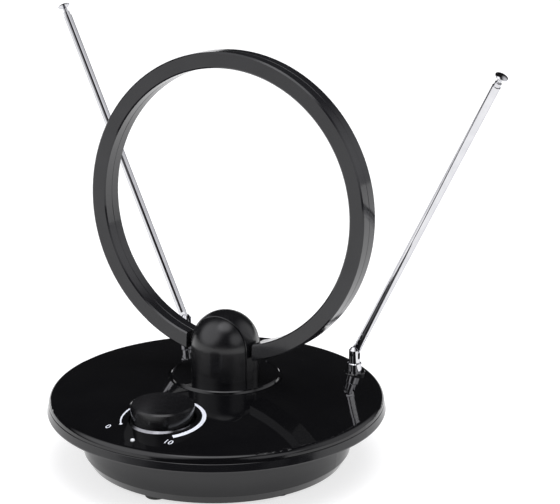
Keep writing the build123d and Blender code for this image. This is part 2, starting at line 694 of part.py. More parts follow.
spindle_foot_z = 43.0
groove_z = 45.0
table_screw_places = [(-TABLE_SCREW_X, SWIVEL_Y), (TABLE_SCREW_X, SWIVEL_Y)]
with BuildPart() as turntable:
    with BuildSketch(Plane.XZ.offset(-SWIVEL_Y)):
        Polygon(
            (SPINDLE_BORE, spindle_foot_z),
            (SPINDLE_RADIUS, spindle_foot_z),
            (SPINDLE_RADIUS, groove_z),
            (GROOVE_RADIUS, groove_z),
            (GROOVE_RADIUS, groove_z + 1.6),
            (SPINDLE_RADIUS, groove_z + 1.6),
            (SPINDLE_RADIUS, TABLE_BOTTOM_Z),
            (TABLE_RADIUS - 0.3, TABLE_BOTTOM_Z),
            (TABLE_RADIUS, TABLE_BOTTOM_Z + 0.3),
            (TABLE_RADIUS, TABLE_BOTTOM_Z + 1.0),
            (TABLE_TOP_RADIUS + 0.5, TABLE_BOTTOM_Z + 1.2),
            (TABLE_TOP_RADIUS, TABLE_TOP_Z - 0.6),
            (TABLE_TOP_RADIUS - 0.7, TABLE_TOP_Z),
            (TABLE_TOP_RADIUS - 1.8, TABLE_TOP_Z),
            (TABLE_TOP_RADIUS - 2.4, TABLE_TOP_Z - 0.4),
            (SPINDLE_BORE, TABLE_TOP_Z - 0.4),
            align=None,
        )
    revolve(axis=Axis((0, SWIVEL_Y, 0), (0, 0, 1)))
    # stop peg, and holes for the two screws that hold the hub
    with BuildSketch(Plane.XY.offset(TABLE_BOTTOM_Z)):
        with Locations((0, SWIVEL_Y - STOP_CIRCLE)):
            Circle(STOP_RADIUS)
    extrude(amount=-STOP_DEPTH)
    with BuildSketch(Plane.XY.offset(TABLE_BOTTOM_Z)):
        with Locations(*table_screw_places):
            Circle(TABLE_SCREW.clearance)
    extrude(amount=5, mode=Mode.SUBTRACT)
    with BuildSketch(Plane.XY.offset(TABLE_BOTTOM_Z)):
        with Locations(*table_screw_places):
            Circle(TABLE_SCREW.counterbore)
    extrude(amount=TABLE_SCREW.head_height, mode=Mode.SUBTRACT)
write(turntable, "turntable")

washer_bottom = groove_z + 1.9
write(ring(washer_bottom, SEAT_UNDER_Z, 14.0, SPINDLE_RADIUS + 0.15, (0, SWIVEL_Y)), "thrust_washer")

# open snap ring in the spindle's groove
with BuildPart() as spindle_clip:
    with BuildSketch(Plane.XY.offset(groove_z + 0.2)):
        with Locations((0, SWIVEL_Y)):
            Circle(SPINDLE_RADIUS + 2.5)
            Circle(GROOVE_RADIUS + 0.05, mode=Mode.SUBTRACT)
        with Locations((0, SWIVEL_Y + 9)):
            Rectangle(7, 8, mode=Mode.SUBTRACT)
    extrude(amount=1.2)
write(spindle_clip, "spindle_clip")

# ======================================================================== hub

HUB_BASE_Z = TABLE_TOP_Z - 0.4
COLUMN_LENGTH = 5.0         # screw columns in the front shell
REAR_COLUMN_LENGTH = 4.0
HEAD_SEAT = 1.8             # wall left under the screw heads in the rear shell


def capsule(radius):
    """A cylinder with a half-ball on top, standing on the turntable about the swivel axis."""
    height = HUB_Z - HUB_BASE_Z
    body = Pos(0, SWIVEL_Y, HUB_BASE_Z + height / 2) * Cylinder(radius, height)
    return body + Pos(0, SWIVEL_Y, HUB_Z) * Sphere(radius)


def slab(near, far):
    """Everything between two distances in front of (negative) or behind the hub's middle plane."""
    middle = SWIVEL_Y + (near + far) / 2
    return Pos(0, middle, HUB_BASE_Z + 30) * Box(80, far - near, 60)


hub_outer = capsule(HUB_RADIUS)
hub_inner = capsule(HUB_RADIUS - HUB_WALL)
cheek = CORE_HALF + SHELL_GAP

core_body = hub_outer & slab(-CORE_HALF, CORE_HALF)
front_body = hub_outer & slab(-30, -cheek)
rear_body = hub_outer & slab(cheek, 30)
front_hollow = hub_inner & slab(-30, -cheek)
rear_hollow = hub_inner & slab(cheek, 30)

with BuildPart() as hub_core:
    add(core_body)
    edges = hub_core.edges().filter_by(lambda e: e.center().Z > HUB_BASE_Z + 1)
    chamfer(edges.filter_by(GeomType.CIRCLE), 0.35)
    # room for the leads, bore for the tilt sleeve, screw holes
    with BuildSketch(Plane.XY.offset(HUB_BASE_Z)):
        with Locations((0, SWIVEL_Y)):
            Rectangle(23, 13)
    extrude(amount=82.5 - HUB_BASE_Z, mode=Mode.SUBTRACT)
    with BuildSketch(Plane.YZ):
        with Locations((SWIVEL_Y, HUB_Z)):
            Circle(SLEEVE_RADIUS + RUNNING)
    extrude(amount=40, both=True, mode=Mode.SUBTRACT)
    with BuildSketch(Plane.XZ.offset(-SWIVEL_Y)):
        with Locations(*HUB_SCREW_PLACES):
            Circle(HUB_SCREW.clearance)
    extrude(amount=20, both=True, mode=Mode.SUBTRACT)
    with BuildSketch(Plane.XY.offset(HUB_BASE_Z)):
        with Locations(*table_screw_places):
            Circle(TABLE_SCREW.pilot)
    extrude(amount=6.4, mode=Mode.SUBTRACT)
write(hub_core, "hub_core")

with BuildPart() as hub_front_shell:
    add(front_body)
    add(front_hollow, mode=Mode.SUBTRACT)
    # columns that take the three hub screws and bear on the core
    with BuildSketch(Plane.XZ.offset(-(SWIVEL_Y - CORE_HALF))):
        with Locations(*HUB_SCREW_PLACES):
            Circle(3.0)
    extrude(amount=SHELL_GAP + COLUMN_LENGTH)
    with BuildSketch(Plane.XZ.offset(-(SWIVEL_Y - CORE_HALF))):
        with Locations(*HUB_SCREW_PLACES):
            Circle(HUB_SCREW.pilot)
    extrude(amount=SHELL_GAP + COLUMN_LENGTH - 1.4, mode=Mode.SUBTRACT)
write(hub_front_shell, "hub_front_shell")

with BuildPart() as hub_rear_shell:
    add(rear_body)
    add(rear_hollow, mode=Mode.SUBTRACT)
    with BuildSketch(Plane.XZ.offset(-(SWIVEL_Y + CORE_HALF))):
        with Locations(*HUB_SCREW_PLACES):
            Circle(3.9)
    extrude(amount=-(SHELL_GAP + REAR_COLUMN_LENGTH))
    with BuildSketch(Plane.XZ.offset(-(SWIVEL_Y + CORE_HALF))):
        with Locations(*HUB_SCREW_PLACES):
            Circle(HUB_SCREW.clearance)
    extrude(amount=-30, mode=Mode.SUBTRACT)
    with BuildSketch(Plane.XZ.offset(-(SWIVEL_Y + cheek + HEAD_SEAT))):
        with Locations(*HUB_SCREW_PLACES):
            Circle(HUB_SCREW.counterbore)
    extrude(amount=-30, mode=Mode.SUBTRACT)
write(hub_rear_shell, "hub_rear_shell")

head_y = SWIVEL_Y + cheek + HEAD_SEAT + HUB_SCREW.head_height
hub_screw_planes = [Plane((x, head_y, z), z_dir=(0, -1, 0)) for x, z in HUB_SCREW_PLACES]
write(screws(hub_screw_planes, HUB_SCREW), "hub_screws")

table_planes = [Plane((x, y, TABLE_BOTTOM_Z)) for x, y in table_screw_places]
write(screws(table_planes, TABLE_SCREW), "turntable_screws")

# the loop's tilt sleeve, two friction washers and two clips that hold them against the core
with BuildPart() as tilt_sleeve:
    with BuildSketch(Plane.YZ):
        with Locations((SWIVEL_Y, HUB_Z)):
            Circle(SLEEVE_RADIUS)
            Circle(SLEEVE_BORE, mode=Mode.SUBTRACT)
    extrude(amount=SLEEVE_HALF, both=True)
    for start in (CLIP_X - 1.1, -CLIP_X):
        with BuildSketch(Plane.YZ.offset(start)):
            with Locations((SWIVEL_Y, HUB_Z)):
                Circle(SLEEVE_RADIUS + 1)
                Circle(SLEEVE_RADIUS - 0.6, mode=Mode.SUBTRACT)
        extrude(amount=1.1, mode=Mode.SUBTRACT)
write(tilt_sleeve, "tilt_sleeve")

with BuildPart() as friction_washers:
    for start, amount in ((11.4, -2.1), (-11.4, 2.1)):
        with BuildSketch(Plane.YZ.offset(start)):
            with Locations((SWIVEL_Y, HUB_Z)):
                Circle(6.2)
                Circle(SLEEVE_RADIUS + RUNNING, mode=Mode.SUBTRACT)
        extrude(amount=amount)
write(friction_washers, "friction_washers")

with BuildPart() as sleeve_clips:
    for start in (CLIP_X - 1.05, -CLIP_X + 0.05):
        with BuildSketch(Plane.YZ.offset(start)):
            with Locations((SWIVEL_Y, HUB_Z)):
                Circle(5.6)
                Circle(SLEEVE_RADIUS - 0.55, mode=Mode.SUBTRACT)
            with Locations((SWIVEL_Y, HUB_Z - 5)):
                Rectangle(4.4, 6, mode=Mode.SUBTRACT)
        extrude(amount=1.0)
write(sleeve_clips, "sleeve_clips")

# ======================================================================= loop

lean = radians(LEAN_BACK)
loop_centre = (0, SWIVEL_Y + LOOP_RISE * sin(lean), HUB_Z + LOOP_RISE * cos(lean))
# local x runs to the right, y up along the loop, z out of its front face
loop_plane = Plane(loop_centre, x_dir=(1, 0, 0), z_dir=(0, -cos(lean), sin(lean)))
CHANNEL_DEPTH = LOOP_HALF_DEPTH - LOOP_WALL
loop_screw_local = around(LOOP_SCREW_CIRCLE, LOOP_SCREW_ANGLES)


def loop_shell(direction):
    """One half of the loop's tube, in front of (1) or behind (-1) the seam, with its ends cut flat."""
    with BuildPart() as shell:
        with BuildSketch(loop_plane):
            Circle(LOOP_OUTER)
            Circle(LOOP_INNER, mode=Mode.SUBTRACT)
        extrude(amount=direction * LOOP_HALF_DEPTH)
        rims = shell.edges().filter_by(GeomType.CIRCLE)
        face_rims = rims.sort_by(Axis(loop_centre, loop_plane.z_dir))
        outer_face = face_rims[-2:] if direction > 0 else face_rims[:2]
        seam_face = face_rims[:2] if direction > 0 else face_rims[-2:]
        chamfer(outer_face, 0.9)
        chamfer(seam_face, 0.3)
        # the channel inside, which stops short of the solid end blocks
        with BuildSketch(loop_plane):
            Circle(LOOP_OUTER - LOOP_WALL)
            Circle(LOOP_INNER + LOOP_WALL, mode=Mode.SUBTRACT)
            with Locations((0, -LOOP_OUTER)):
                Rectangle(2 * LOOP_BLOCK_X, 60, mode=Mode.SUBTRACT)
        extrude(amount=direction * CHANNEL_DEPTH, mode=Mode.SUBTRACT)
        # the gap at the foot of the loop, where the hub stands
        with BuildSketch(loop_plane):
            with Locations((0, -LOOP_OUTER)):
                Rectangle(2 * LOOP_END_X, 60)
        extrude(amount=direction * 20, mode=Mode.SUBTRACT)
        # screw columns
        with BuildSketch(loop_plane):
            with Locations(*loop_screw_local):
                Circle(LOOP_COLUMN)
        extrude(amount=direction * CHANNEL_DEPTH)
        if direction > 0:
            with BuildSketch(loop_plane):
                with Locations(*loop_screw_local):
                    Circle(LOOP_SCREW.pilot)
            extrude(amount=CHANNEL_DEPTH - 1.0, mode=Mode.SUBTRACT)
        else:
            with BuildSketch(loop_plane):
                with Locations(*loop_screw_local):
                    Circle(LOOP_SCREW.clearance)
            extrude(amount=-20, mode=Mode.SUBTRACT)
            with BuildSketch(loop_plane.offset(-LOOP_HALF_DEPTH)):
                with Locations(*loop_screw_local):
                    Circle(LOOP_SCREW.counterbore)
            extrude(amount=LOOP_SCREW.head_height + 0.1, mode=Mode.SUBTRACT)
        # half-round seats for the sleeve, and the lead's way on into the channel
        with BuildSketch(Plane.YZ):
            with Locations((SWIVEL_Y, HUB_Z)):
                Circle(SLEEVE_RADIUS + 0.02)
        extrude(amount=SLEEVE_HALF + 0.1, both=True, mode=Mode.SUBTRACT)
        with BuildSketch(Plane.YZ):
            with Locations((SWIVEL_Y, HUB_Z)):
                Circle(SLEEVE_BORE)
        extrude(amount=LOOP_BLOCK_X + 2.5, both=True, mode=Mode.SUBTRACT)
    return shell


loop_front_shell = loop_shell(1)
write(loop_front_shell, "loop_front_shell")
loop_rear_shell = loop_shell(-1)
write(loop_rear_shell, "loop_rear_shell")

loop_screw_planes = [
    Plane(loop_plane.from_local_coords((x, y, -LOOP_HALF_DEPTH)), x_dir=(1, 0, 0), z_dir=loop_plane.z_dir)
    for x, y in loop_screw_local
]
write(screws(loop_screw_planes, LOOP_SCREW), "loop_screws")

# the aerial itself: an open band of thin metal standing in the channel
band_outer = LOOP_OUTER - LOOP_WALL - 0.6
with BuildPart() as loop_conductor:
    with BuildSketch(loop_plane.offset(-CHANNEL_DEPTH)):
        Circle(band_outer)
        Circle(band_outer - 0.8, mode=Mode.SUBTRACT)
        with Locations((0, -LOOP_OUTER)):
            Rectangle(2 * LOOP_BLOCK_X + 6, 60, mode=Mode.SUBTRACT)
    extrude(amount=2 * CHANNEL_DEPTH)
write(loop_conductor, "loop_conductor")

# ======================================================================= rods


def post_pieces(side, sign):
    """The insulating bush, chrome collar and nut that stand still in the plate."""
    centre = (sign * POST_X, POST_Y)
    axis = Axis((*centre, 0), (0, 0, 1))
    section = Plane((*centre, 0), x_dir=(1, 0, 0), z_dir=(0, -1, 0))
    stem_bore = STEM_RADIUS + RUNNING
    neck_bore = COLLAR_NECK + 0.05
    with BuildPart() as bush:
        with BuildSketch(section):
            Polygon(
                (neck_bore, BUSH_UNDER_Z),
                (BUSH_NECK, BUSH_UNDER_Z),
                (BUSH_NECK, BUSH_SEAT_Z),
                (BUSH_RADIUS, BUSH_SEAT_Z),
                (BUSH_RADIUS, BUSH_TOP_Z - 0.6),
                (BUSH_RADIUS - 0.6, BUSH_TOP_Z),
                (neck_bore, BUSH_TOP_Z),
                align=None,
            )
        revolve(axis=axis)
    write(bush, f"rod_bush_{side}")
    with BuildPart() as collar:
        with BuildSketch(section):
            Polygon(
                (stem_bore, COLLAR_FOOT_Z),
                (COLLAR_NECK, COLLAR_FOOT_Z),
                (COLLAR_NECK, BUSH_TOP_Z),
                (COLLAR_RADIUS, BUSH_TOP_Z),
                (COLLAR_RADIUS, COLLAR_TOP_Z - 0.5),
                (COLLAR_RADIUS - 0.5, COLLAR_TOP_Z),
                (stem_bore, COLLAR_TOP_Z),
                align=None,
            )
        revolve(axis=axis)
    write(collar, f"rod_collar_{side}")
    with BuildPart() as nut:
        with BuildSketch(Plane.XY.offset(COLLAR_FOOT_Z + 0.5)):
            with Locations(centre):
                RegularPolygon(4.6, 6, major_radius=False)
                Circle(neck_bore, mode=Mode.SUBTRACT)
        extrude(amount=BUSH_UNDER_Z - COLLAR_FOOT_Z - 0.5)
    write(nut, f"rod_nut_{side}")


def clevis_pieces(side, sign):
    """The turning clevis on its stem, and the pin that the rod folds on."""
    turned = Plane((sign * POST_X, POST_Y, 0)).rotated((0, 0, -ROD_TURN))
    lean_face = Plane(turned.origin, x_dir=turned.x_dir, z_dir=-turned.y_dir)
    clevis_bottom = COLLAR_TOP_Z + 0.1
    rivet_radius = STEM_RADIUS + 0.5
    with BuildPart() as clevis:
        with BuildSketch(lean_face):
            Polygon(
                (0, COLLAR_FOOT_Z - 1.1),
                (rivet_radius, COLLAR_FOOT_Z - 1.1),
                (rivet_radius, COLLAR_FOOT_Z - 0.5),
                (STEM_RADIUS, COLLAR_FOOT_Z - 0.1),
                (STEM_RADIUS, clevis_bottom),
                (CLEVIS_RADIUS - 0.3, clevis_bottom),
                (CLEVIS_RADIUS, clevis_bottom + 0.3),
                (CLEVIS_RADIUS, CLEVIS_TOP_Z - 2.2),
                (CLEVIS_RADIUS - 1.8, CLEVIS_TOP_Z),
                (0, CLEVIS_TOP_Z),
                align=None,
            )
        revolve(axis=Axis(turned.origin, (0, 0, 1)))
        # slot for the rod's tongue, open at the top and to both sides
        with BuildSketch(turned.offset(PIVOT_Z - 3.4)):
            Rectangle(20, SLOT_WIDTH)
        extrude(amount=10, mode=Mode.SUBTRACT)
        with BuildSketch(lean_face):
            with Locations((0, PIVOT_Z)):
                Circle(PIN_RADIUS)
        extrude(amount=10, both=True, mode=Mode.SUBTRACT)
        # flats that the pin's two heads bear on
        for outwards in (1, -1):
            with BuildSketch(lean_face.offset(outwards * FLAT)):
                with Locations((0, PIVOT_Z)):
                    Circle(PIN_HEAD + 0.05)
            extrude(amount=outwards * 2, mode=Mode.SUBTRACT)
    write(clevis, f"rod_clevis_{side}")
    with BuildPart() as pin:
        with BuildSketch(lean_face):
            with Locations((0, PIVOT_Z)):
                Circle(PIN_RADIUS)
        extrude(amount=FLAT, both=True)
        for outwards in (1, -1):
            with BuildSketch(lean_face.offset(outwards * FLAT)):
                with Locations((0, PIVOT_Z)):
                    Circle(PIN_HEAD)
            extrude(amount=outwards * PIN_HEAD_HEIGHT)
        # driver slot in the front head
        with BuildSketch(lean_face.offset(FLAT + PIN_HEAD_HEIGHT)):
            with Locations((0, PIVOT_Z)):
                Rectangle(3.2, 0.45)
        extrude(amount=-PIN_HEAD_HEIGHT / 2, mode=Mode.SUBTRACT)
    write(pin, f"rod_pin_{side}")


def rod_axes(sign):
    """The rod's own plane at the pivot: local z runs up the rod, local x along the pin."""
    turned = Plane((sign * POST_X, POST_Y, PIVOT_Z)).rotated((0, 0, -ROD_TURN))
    angle = radians(ROD_LEAN)
    along = turned.x_dir * (sign * sin(angle)) + turned.z_dir * cos(angle)
    return Plane(turned.origin, x_dir=turned.y_dir, z_dir=along)


def rod_pieces(side, sign):
    """The tongue, five nested tubes and the tip of one telescopic rod, pushed in."""
    rod = rod_axes(sign)
    blade = Plane(rod.origin, x_dir=rod.y_dir, z_dir=rod.x_dir)
    with BuildPart() as tongue:
        with BuildSketch(blade):
            Circle(TUBE_RADII[0])
            with Locations((0, TUBE_STARTS[0] / 2)):
                Rectangle(2 * TUBE_RADII[0], TUBE_STARTS[0])
            Circle(PIN_RADIUS + RUNNING, mode=Mode.SUBTRACT)
        extrude(amount=SLOT_WIDTH / 2 - 0.1, both=True)
        with BuildSketch(rod.offset(TUBE_STARTS[0])):
            Circle(TUBE_BORES[0] - 0.03)
        extrude(amount=12.5)
    write(tongue, f"rod_tongue_{side}")
    for number, (start, end, radius, bore) in enumerate(
        zip(TUBE_STARTS, TUBE_ENDS, TUBE_RADII, TUBE_BORES), 1
    ):
        with BuildPart() as tube:
            with BuildSketch(rod.offset(start)):
                Circle(radius)
            extrude(amount=end - start)
            if number == 1:
                for place in CRIMP_PLACES:
                    with BuildSketch(rod.offset(start + place)):
                        Circle(radius)
                        Circle(radius - CRIMP_DEPTH, mode=Mode.SUBTRACT)
                    extrude(amount=CRIMP_WIDTH, mode=Mode.SUBTRACT)
            else:
                # wider foot that runs in the bore of the tube outside
                with BuildSketch(rod.offset(start)):
                    Circle(TUBE_BORES[number - 2] - RUNNING)
                extrude(amount=FOOT_LENGTH)
            if bore:
                with BuildSketch(rod.offset(start)):
                    Circle(bore)
                extrude(amount=end - start - LIP, mode=Mode.SUBTRACT)
                # rolled lip at the mouth
                with BuildSketch(rod.offset(end)):
                    Circle(TUBE_RADII[number] + RUNNING)
                extrude(amount=-2 * LIP, mode=Mode.SUBTRACT)
        write(tube, f"rod_{side}_tube_{number}")
    # the cap's crown is a shallow dome; half way out it has dropped by mid_drop
    crown = (CAP_RADIUS**2 + CAP_RISE**2) / (2 * CAP_RISE)
    middle = CAP_RADIUS / 2
    mid_drop = crown - sqrt(crown**2 - middle**2)
    edge_at = ROD_LENGTH - CAP_RISE
    with BuildPart() as tip:
        with BuildSketch(Plane(rod.origin, x_dir=rod.x_dir, z_dir=-rod.y_dir)):
            with BuildLine():
                Polyline(
                    (0, ROD_LENGTH - 2.3),
                    (TUBE_RADII[4], ROD_LENGTH - 2.3),
                    (TUBE_RADII[4], ROD_LENGTH - 5.1),
                    (1.5, ROD_LENGTH - 5.1),
                    (1.5, ROD_LENGTH - 3.7),
                    (CAP_RADIUS - 0.15, edge_at - 0.7),
                    (CAP_RADIUS, edge_at),
                )
                ThreePointArc((CAP_RADIUS, edge_at), (middle, ROD_LENGTH - mid_drop), (0, ROD_LENGTH))
                Line((0, ROD_LENGTH), (0, ROD_LENGTH - 2.3))
            make_face()
        revolve(axis=Axis(rod.origin, rod.z_dir))
    write(tip, f"rod_{side}_tip")


for side, sign in (("left", -1), ("right", 1)):
    post_pieces(side, sign)
    clevis_pieces(side, sign)
    rod_pieces(side, sign)
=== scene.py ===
"""Looks of the rabbit ears antenna: materials, printed dial, floor, light and camera."""

import json
from math import cos, pi, radians, sin

import bmesh
import bpy
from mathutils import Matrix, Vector
from mathutils.bvhtree import BVHTree


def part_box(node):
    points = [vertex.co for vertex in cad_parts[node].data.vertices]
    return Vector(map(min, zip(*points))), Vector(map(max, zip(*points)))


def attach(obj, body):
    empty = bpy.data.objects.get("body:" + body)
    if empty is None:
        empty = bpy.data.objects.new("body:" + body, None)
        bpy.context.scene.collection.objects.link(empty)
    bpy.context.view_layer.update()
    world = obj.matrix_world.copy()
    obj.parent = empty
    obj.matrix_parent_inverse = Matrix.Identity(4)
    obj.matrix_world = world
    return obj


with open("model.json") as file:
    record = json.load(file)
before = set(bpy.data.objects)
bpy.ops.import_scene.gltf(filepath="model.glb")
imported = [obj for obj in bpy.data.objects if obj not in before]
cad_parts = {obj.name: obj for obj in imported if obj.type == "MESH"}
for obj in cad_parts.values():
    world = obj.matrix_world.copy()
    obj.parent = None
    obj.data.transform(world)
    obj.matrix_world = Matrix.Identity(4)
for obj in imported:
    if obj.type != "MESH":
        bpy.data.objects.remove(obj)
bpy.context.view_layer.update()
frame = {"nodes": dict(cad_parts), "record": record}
MM = 0.001

# ------------------------------------------------------------------ driving values

# camera: place in metres, angles in degrees, lens and sensor in millimetres
CAMERA_PLACE = (0.7267, -1.2244, 0.6044)
CAMERA_AZIMUTH = 29.0
CAMERA_PITCH = 17.98
CAMERA_LENS = 147.86
CAMERA_SENSOR = 36.0
CAMERA_REACH = 50.0

# printed dial about the knob: angles in degrees from +X
DIAL_RADIUS = 26.7 * MM
DIAL_START = 218.0
DIAL_SWEEP = -262.4
DIAL_WIDTHS = (0.9 * MM, 3.3 * MM)
DIAL_STEPS = 150
DOT_RADIUS = 1.05 * MM
DOT_LEAD = 1.5
DOT_SEGMENTS = 32
INK_THICKNESS = 0.05 * MM

# numbers beside the dial: text, angle and radius of the middle
NUMERALS = {
    "dial_numeral_low": ("0", 220.5, 35 * MM),
    "dial_numeral_high": ("10", -52, 32.5 * MM),
}
NUMERAL_HEIGHT = 4.6 * MM
HEIGHT_PER_FONT_SIZE = 0.7
NUMERAL_SMOOTHNESS = 6
MERGE_DISTANCE = 0.001 * MM

# floor
FLOOR_HALF = 12.0
FLOOR_GLOW = 0.68

# soft lights: place, the point it faces, width and height, brightness
LAMPS = {
    "overhead": ((0.1, 0.1, 1.7), (0, 0, 0.1), (1.4, 1.4), 2.9),
    "left": ((-1.3, -1.0, 1.2), (0, 0, 0.12), (0.7, 1.0), 2.0),
    "right": ((1.5, -0.3, 0.9), (0, 0, 0.12), (0.25, 1.0), 2.5),
}

# even light from all sides, for what is matt
PALE_COLOUR = (0.93, 0.93, 0.95, 1)
PALE_STRENGTH = 0.85

# soft patches of light that polished surfaces reflect: direction, angles in degrees from its middle
# where it starts and stops fading, brightness
ROOM_COLOUR = (0.97, 0.97, 1.0, 1)
DARK_ROOM = 0.014
PATCHES = (
    ((0.1, -0.2, 1.0), 8, 25, 2.3),
    ((-0.5, -0.6, 0.62), 20, 48, 1.6),
    ((0.85, -0.3, 0.45), 8, 26, 1.1),
    ((0.76, 0.57, 0.34), 14, 44, 0.8),
)


def centre(node):
    """Middle of a CAD node's box."""
    low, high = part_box(node)
    return (low + high) / 2


# ---------------------------------------------------------------- material helpers


class Shade:
    """A principled material, with helpers for the detail that drives its sockets."""

    def __init__(self, name, colour, roughness, metallic=0.0, ior=1.5):
        self.material = bpy.data.materials.new(name)
        self.material.use_nodes = True
        self.nodes = self.material.node_tree.nodes
        self.links = self.material.node_tree.links
        self.shader = self.nodes["Principled BSDF"]
        self.shader.inputs["Base Color"].default_value = (*colour, 1.0)
        self.shader.inputs["Roughness"].default_value = roughness
        self.shader.inputs["Metallic"].default_value = metallic
        self.shader.inputs["IOR"].default_value = ior
        self.place = self.nodes.new("ShaderNodeTexCoord").outputs["Object"]
        self.height = None

    def noise(self, size, detail=3.0, stretch=(1, 1, 1)):
        """Noise whose blobs are about this size, in metres. Stretch lengthens them along an axis."""
        scale = self.nodes.new("ShaderNodeMapping")
        scale.inputs["Scale"].default_value = [1 / (size * s) for s in stretch]
        self.links.new(self.place, scale.inputs["Vector"])
        noise = self.nodes.new("ShaderNodeTexNoise")
        noise.inputs["Scale"].default_value = 1.0
        noise.inputs["Detail"].default_value = detail
        self.links.new(scale.outputs["Vector"], noise.inputs["Vector"])
        return noise.outputs["Fac"]

    def cells(self, size):
        """Distance to the nearest of scattered points about this far apart."""
        cells = self.nodes.new("ShaderNodeTexVoronoi")
        cells.inputs["Scale"].default_value = 1 / size
        self.links.new(self.place, cells.inputs["Vector"])
        return cells.outputs["Distance"]

    def between(self, source, low, high, start=0.3, end=0.7):
        """A source from start to end, mapped to a value from low to high."""
        remap = self.nodes.new("ShaderNodeMapRange")
        remap.inputs["From Min"].default_value = start
        remap.inputs["From Max"].default_value = end
        remap.inputs["To Min"].default_value = low
        remap.inputs["To Max"].default_value = high
        self.links.new(source, remap.inputs["Value"])
        return remap.outputs["Result"]

    def rough(self, source, low, high, start=0.3, end=0.7):
        """Roughness that follows a source."""
        value = self.between(source, low, high, start, end)
        self.links.new(value, self.shader.inputs["Roughness"])
        return self

    def tint(self, source, first, second, start=0.3, end=0.7):
        """Colour that runs from one to another with a source."""
        mix = self.nodes.new("ShaderNodeMix")
        mix.data_type = "RGBA"
        colours = [s for s in mix.inputs if s.type == "RGBA"]
        colours[0].default_value = (*first, 1.0)
        colours[1].default_value = (*second, 1.0)
        self.links.new(self.between(source, 0.0, 1.0, start, end), mix.inputs["Factor"])
        result = [s for s in mix.outputs if s.type == "RGBA"][0]
        self.links.new(result, self.shader.inputs["Base Color"])
        return self

    def bump(self, source, depth):
        """Relief of this depth, in metres. A second call adds a second relief."""
        bump = self.nodes.new("ShaderNodeBump")
        bump.inputs["Distance"].default_value = depth
        self.links.new(source, bump.inputs["Height"])
        if self.height:
            self.links.new(self.height, bump.inputs["Normal"])
        self.height = bump.outputs["Normal"]
        self.links.new(self.height, self.shader.inputs["Normal"])
        return self


def wave_lines(shade, size, axis):
    """Fine straight lines across an axis, as turning or drawing leaves them."""
    wave = shade.nodes.new("ShaderNodeTexWave")
    wave.bands_direction = axis
    wave.inputs["Scale"].default_value = 1 / size
    wave.inputs["Distortion"].default_value = 1.5
    wave.inputs["Detail"].default_value = 2.0
    shade.links.new(shade.place, wave.inputs["Vector"])
    return wave.outputs["Fac"]


# ----------------------------------------------------------------------- materials


def moulded_gloss():
    """Piano-black plastic: a mirror surface with faint waves and hairline polish marks."""
    shade = Shade("gloss_black", (0.0034, 0.0034, 0.004), 0.03)
    shade.tint(shade.noise(30 * MM), (0.003, 0.003, 0.0036), (0.0042, 0.0042, 0.0048))
    shade.rough(shade.noise(14 * MM, 5.0), 0.018, 0.05)
    shade.bump(shade.noise(9 * MM, 1.0), 0.004 * MM)
    shade.bump(shade.noise(0.5 * MM, 2.0, (14, 1, 1)), 0.00025 * MM)
    return shade.material


def moulded_semi_gloss(name, dark, light, low, high, grain):
    """Black plastic with a light moulded grain, a little uneven in gloss."""
    shade = Shade(name, dark, low)
    shade.tint(shade.noise(22 * MM), dark, light)
    shade.rough(shade.noise(7 * MM, 5.0), low, high)
    shade.bump(shade.noise(6 * MM, 1.0), 0.006 * MM)
    shade.bump(shade.noise(0.35 * MM, 2.0), grain)
    return shade.material


def satin_knob():
    shade = Shade("knob_satin", (0.004, 0.004, 0.005), 0.2)
    shade.tint(shade.noise(12 * MM), (0.0035, 0.0035, 0.0042), (0.005, 0.005, 0.0058))
    shade.rough(shade.noise(5 * MM, 4.0), 0.16, 0.24)
    shade.bump(shade.noise(0.5 * MM, 2.0), 0.0008 * MM)
    return shade.material


def turned_ring():
    """Dark satin ring with the fine circles that turning leaves."""
    shade = Shade("bezel_metal", (0.24, 0.24, 0.255), 0.2, metallic=1.0)
    shade.tint(shade.noise(4 * MM), (0.21, 0.21, 0.225), (0.27, 0.27, 0.285))
    shade.rough(shade.noise(3 * MM, 4.0), 0.16, 0.24)
    shade.bump(wave_lines(shade, 0.25 * MM, "Z"), 0.0006 * MM)
    return shade.material


def chrome(name, low, high):
    """Bright plating: nearly a mirror, with faint drawing lines and handling marks."""
    shade = Shade(name, (0.62, 0.62, 0.64), low, metallic=1.0)
    shade.shader.inputs["Specular Tint"].default_value = (0.62, 0.62, 0.66, 1.0)
    shade.tint(shade.noise(9 * MM), (0.58, 0.58, 0.6), (0.67, 0.67, 0.685))
    shade.rough(shade.noise(3 * MM, 5.0), low, high)
    shade.bump(shade.noise(0.35 * MM, 2.0, (1, 1, 30)), 0.0006 * MM)
    return shade.material


def steel(name, dark, light, low, high, stretch=(1, 1, 8)):
    shade = Shade(name, light, low, metallic=1.0)
    shade.tint(shade.noise(3 * MM, 5.0), dark, light)
    shade.rough(shade.noise(0.8 * MM, 4.0, stretch), low, high)
    shade.bump(shade.noise(0.2 * MM, 2.0, stretch), 0.003 * MM)
    return shade.material


def rubber():
    shade = Shade("foot_rubber", (0.018, 0.018, 0.018), 0.75)
    shade.tint(shade.noise(4 * MM), (0.013, 0.013, 0.013), (0.026, 0.026, 0.025))
    shade.rough(shade.noise(1.2 * MM), 0.62, 0.86)
    shade.bump(shade.cells(0.6 * MM), 0.03 * MM)
    return shade.material


def laminate():
    """Green solder mask over copper tracks."""
    shade = Shade("board_laminate", (0.02, 0.16, 0.06), 0.35)
    shade.tint(shade.cells(3 * MM), (0.03, 0.22, 0.08), (0.012, 0.11, 0.04), 0.25, 0.35)
    shade.rough(shade.noise(1 * MM), 0.25, 0.42)
    shade.bump(shade.cells(3 * MM), 0.03 * MM)
    return shade.material


